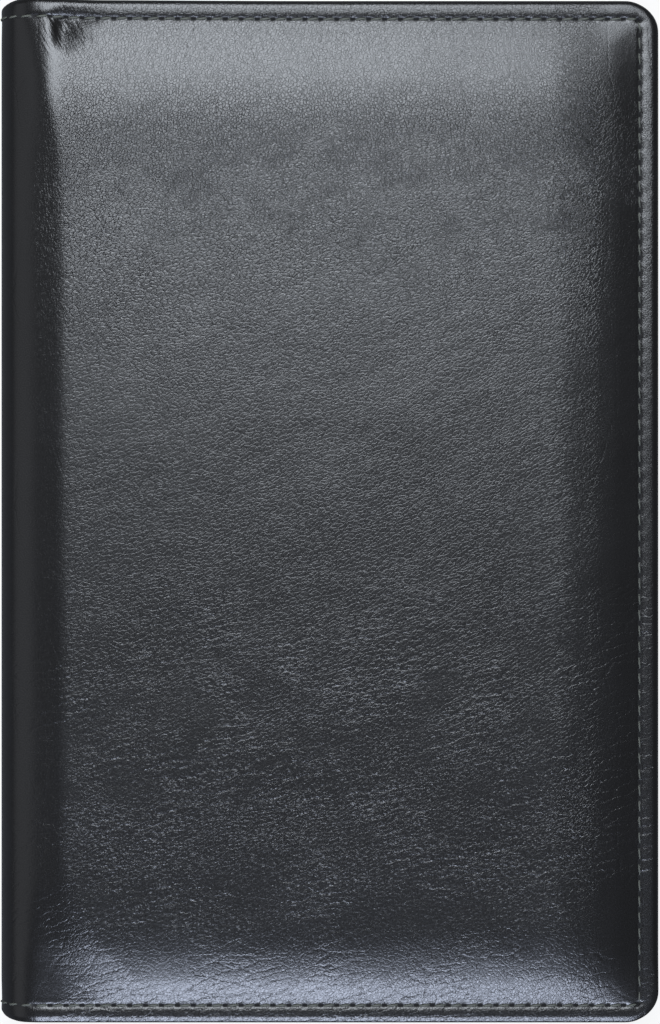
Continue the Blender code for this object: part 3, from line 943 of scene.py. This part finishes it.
class CARDHOLDER_OT_pads(bpy.types.Operator):
    """Make the foam under each padded panel"""

    bl_idname = "card_holder.pads"
    bl_label = "Foam pads"

    def execute(self, context):
        material = foam_finish()
        for side in ("front", "back"):
            shape = HideShape(side == "front")
            width, reach = WIDTH - PAD_INSET - PAD_START, HALF_HEIGHT - PAD_INSET
            columns = [PAD_START + width * k / PAD_COLUMNS for k in range(PAD_COLUMNS + 1)]
            rows = [-reach + 2 * reach * k / PAD_ROWS for k in range(PAD_ROWS + 1)]
            bm, places, _ = grid_sheet(columns, rows)
            for vertex, across, height in places:
                fore, end = WIDTH - across, HALF_HEIGHT - abs(height)
                top = SPINE_RADIUS - PAD_UNDER + shape.crown(across, fore, end, height)
                vertex.co = Vector((across, height, top))
            made = bmesh.ops.extrude_face_region(bm, geom=bm.faces[:])
            for vertex in made["geom"]:
                if isinstance(vertex, bmesh.types.BMVert):
                    vertex.co.z = BOARD_TOP + CLEAR
            for vertex in bm.verts:
                vertex.co = shape.to_frame(vertex.co)
            bmesh.ops.recalc_face_normals(bm, faces=bm.faces)
            piece = finish_piece(bm, side + "_pad", material)
            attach(piece, side + "_cover")
            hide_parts(side + "_foam")
        return {"FINISHED"}


class CARDHOLDER_OT_linings(bpy.types.Operator):
    """Make the lining of both covers, each with its half of the spine"""

    bl_idname = "card_holder.linings"
    bl_label = "Linings"

    def execute(self, context):
        material = lining_finish()
        outer = SPINE_LINING_FACE + LINING_THICKNESS
        bend = outer * math.pi / 2
        inset = TURN_UNDER + 0.06
        length = bend + WIDTH - SPINE_RADIUS - inset
        for side in ("front", "back"):
            shape = HideShape(side == "front")
            columns = [0.0, 0.06] + [length * k / LINING_COLUMNS for k in range(1, LINING_COLUMNS + 1)]
            rows = [(HALF_HEIGHT - inset) * (k / LINING_ROWS - 1) for k in range(2 * LINING_ROWS + 1)]
            bm, places, (cloth_place,) = grid_sheet(columns, rows, "cloth_place")
            for vertex, run, height in places:
                fore = length - run
                end = HALF_HEIGHT - inset - abs(height)
                radius = CORNER_RADIUS - inset
                near, far = min(fore, end), max(fore, end)
                if far < radius:
                    turned = 1 - (far - near) / (radius - near) if near < radius else 0.0
                    angle = math.radians(45) * turned
                    pair = (
                        radius - (radius - near) * math.cos(angle),
                        radius - (radius - near) * math.sin(angle),
                    )
                    fore_in, end_in = pair if fore <= end else (pair[1], pair[0])
                else:
                    fore_in, end_in = fore, end
                if run < bend:
                    angle = run / outer
                    across = SPINE_RADIUS - outer * math.cos(angle)
                    level = outer * math.sin(angle)
                else:
                    across = WIDTH - inset - fore_in
                    foot = rise(across, SPINE_RADIUS, LINING_FALL)
                    level = outer + (LINING_FACE + LINING_THICKNESS - outer) * foot
                y = math.copysign(HALF_HEIGHT - inset - end_in, height)
                vertex.co = shape.to_frame(Vector((across, y, level)))
                vertex[cloth_place] = Vector((run, height, 0.0))
            if side == "back":
                bmesh.ops.reverse_faces(bm, faces=bm.faces)
            piece = finish_piece(bm, side + "_lining_cloth", material)
            thicken = piece.modifiers.new("thickness", "SOLIDIFY")
            thicken.thickness = LINING_THICKNESS * MM
            thicken.offset = -1.0
            spine_bend(piece)
            nodes = [side + "_lining"] + (["spine_lining"] if side == "front" else [])
            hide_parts(*nodes)
        return {"FINISHED"}


class CARDHOLDER_OT_stiffeners(bpy.types.Operator):
    """Finish the boards and the sleeves"""

    bl_idname = "card_holder.stiffeners"
    bl_label = "Boards and sleeves"

    def execute(self, context):
        colours = context.scene.card_holder_colours
        board = board_finish()
        sleeve = vinyl_finish("sleeve leatherette", colours.leather, 0.45, 0.0011)
        for side in ("front", "back"):
            dress_node(side + "_board", board)
            dress_node(side + "_sleeve", sleeve)
        return {"FINISHED"}


class CARDHOLDER_OT_booklet(bpy.types.Operator):
    """Finish the booklet's flaps, binding and clear leaves"""

    bl_idname = "card_holder.booklet"
    bl_label = "Booklet"

    def execute(self, context):
        colours = context.scene.card_holder_colours
        vinyl = vinyl_finish("booklet vinyl", colours.vinyl, 0.35, 0.0007)
        film = film_finish()
        for name in ("booklet_front_flap", "booklet_back_flap", "booklet_binding"):
            dress_node(name, vinyl)
        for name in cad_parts:
            if name.startswith("leaf_"):
                dress_node(name, film)
        return {"FINISHED"}


class CARDHOLDER_OT_studio(bpy.types.Operator):
    """Make the floor, the lamps and the camera"""

    bl_idname = "card_holder.studio"
    bl_label = "Studio"

    def floor(self):
        r = Recipe("pale floor", Roughness=1.0, Base_Color=(0.16, 0.16, 0.16))
        grit = r.noise(r.add("TexCoord").outputs["Object"], scale=90.0, detail=2.0)
        r.set(r.shader, Normal=r.bump(grit, 0.00002), Emission_Color=(1.0, 1.0, 1.0))
        path = r.add("LightPath").outputs
        seen = r.math("MAXIMUM", path["Is Camera Ray"], path["Is Transmission Ray"])
        r.set(r.shader, Emission_Strength=r.math("MULTIPLY", seen, FLOOR_GLOW))
        bm = bmesh.new()
        under = Vector((0.0, 0.0, -0.1 * MM))
        bmesh.ops.create_grid(bm, x_segments=8, y_segments=8, size=1.5, matrix=Matrix.Translation(under))
        floor = finish_piece(bm, "floor", r.material)

    def world(self, strength):
        world = bpy.data.worlds.new("surroundings")
        world.use_nodes = True
        nodes, links = world.node_tree.nodes, world.node_tree.links
        background = nodes["Background"]
        background.inputs["Color"].default_value = (1.0, 1.0, 1.0, 1.0)
        path = nodes.new("ShaderNodeLightPath").outputs
        seen = nodes.new("ShaderNodeMath")
        seen.operation = "MAXIMUM"
        links.new(path["Is Camera Ray"], seen.inputs[0])
        links.new(path["Is Transmission Ray"], seen.inputs[1])
        level = nodes.new("ShaderNodeMapRange")
        level.inputs[3].default_value = strength
        level.inputs[4].default_value = 1.0
        links.new(seen.outputs[0], level.inputs[0])
        links.new(level.outputs[0], background.inputs["Strength"])
        bpy.context.scene.world = world

    def soft_box(self, name, place, size, brightness, colour, lean=0.0):
        """A soft box facing down, or leaning towards +X. A brightness of 1 is white."""
        lamp = bpy.data.lights.new(name, "AREA")
        lamp.shape = "RECTANGLE"
        lamp.size, lamp.size_y = size
        lamp.energy = brightness * math.pi * size[0] * size[1]
        lamp.color = colour
        holder = bpy.data.objects.new(name, lamp)
        holder.location = place
        holder.rotation_euler = (0.0, math.radians(-lean), 0.0)
        bpy.context.scene.collection.objects.link(holder)

    def camera(self, studio):
        camera = bpy.data.cameras.new("camera")
        camera.sensor_width = 36.0
        camera.lens = 36.0 * studio.distance / studio.frame_height
        camera.clip_start = 0.01
        camera.clip_end = 20.0
        holder = bpy.data.objects.new("camera", camera)
        edge_level = MIDDLE + SPINE_RADIUS - sizes()["roll"]
        holder.location = (*CAMERA_ASIDE, edge_level * MM + studio.distance)
        bpy.context.scene.collection.objects.link(holder)
        bpy.context.scene.camera = holder

    def execute(self, context):
        studio = context.scene.card_holder_studio
        self.floor()
        self.world(studio.fill)
        lamps = (
            ("top box", (-0.043, 0.425, 0.62), (0.314, 0.6), studio.top_light, (0.87, 0.925, 1.0)),
            ("bottom box", (-0.035, -0.49, 0.52), (0.33, 0.22), studio.bottom_light, (0.72, 0.8, 1.0)),
            ("spine panel", (-0.75, 0.0, 0.38), (0.5, 1.0), studio.spine_light, (0.9, 0.93, 1.0), 65),
        )
        for lamp in lamps:
            self.soft_box(*lamp)
        self.camera(studio)
        context.scene.view_settings.view_transform = "Standard"
        return {"FINISHED"}


STEPS = (
    CARDHOLDER_OT_hide,
    CARDHOLDER_OT_stitches,
    CARDHOLDER_OT_pads,
    CARDHOLDER_OT_linings,
    CARDHOLDER_OT_stiffeners,
    CARDHOLDER_OT_booklet,
    CARDHOLDER_OT_studio,
)


class CARDHOLDER_PT_panel(bpy.types.Panel):
    """Lists the card holder's settings and steps"""

    bl_idname = "CARDHOLDER_PT_panel"
    bl_label = "Card Holder"
    bl_space_type = "VIEW_3D"
    bl_region_type = "UI"
    bl_category = "Card Holder"

    def draw(self, context):
        for name in GROUPS:
            group = getattr(context.scene, name)
            box = self.layout.box()
            for setting in group.__annotations__:
                box.prop(group, setting)
        for step in STEPS:
            self.layout.operator(step.bl_idname)


GROUPS = {
    "card_holder_sizes": CardHolderSizes,
    "card_holder_colours": CardHolderColours,
    "card_holder_studio": CardHolderStudio,
}
CLASSES = (*GROUPS.values(), *STEPS, CARDHOLDER_PT_panel)


def register():
    for made in CLASSES:
        bpy.utils.register_class(made)
    for name, group in GROUPS.items():
        setattr(bpy.types.Scene, name, PointerProperty(type=group))


def unregister():
    for name in GROUPS:
        delattr(bpy.types.Scene, name)
    for made in reversed(CLASSES):
        bpy.utils.unregister_class(made)


def main():
    register()
    for step in STEPS:
        area, name = step.bl_idname.split(".")
        getattr(getattr(bpy.ops, area), name)()


if __name__ == "__main__":
    main()
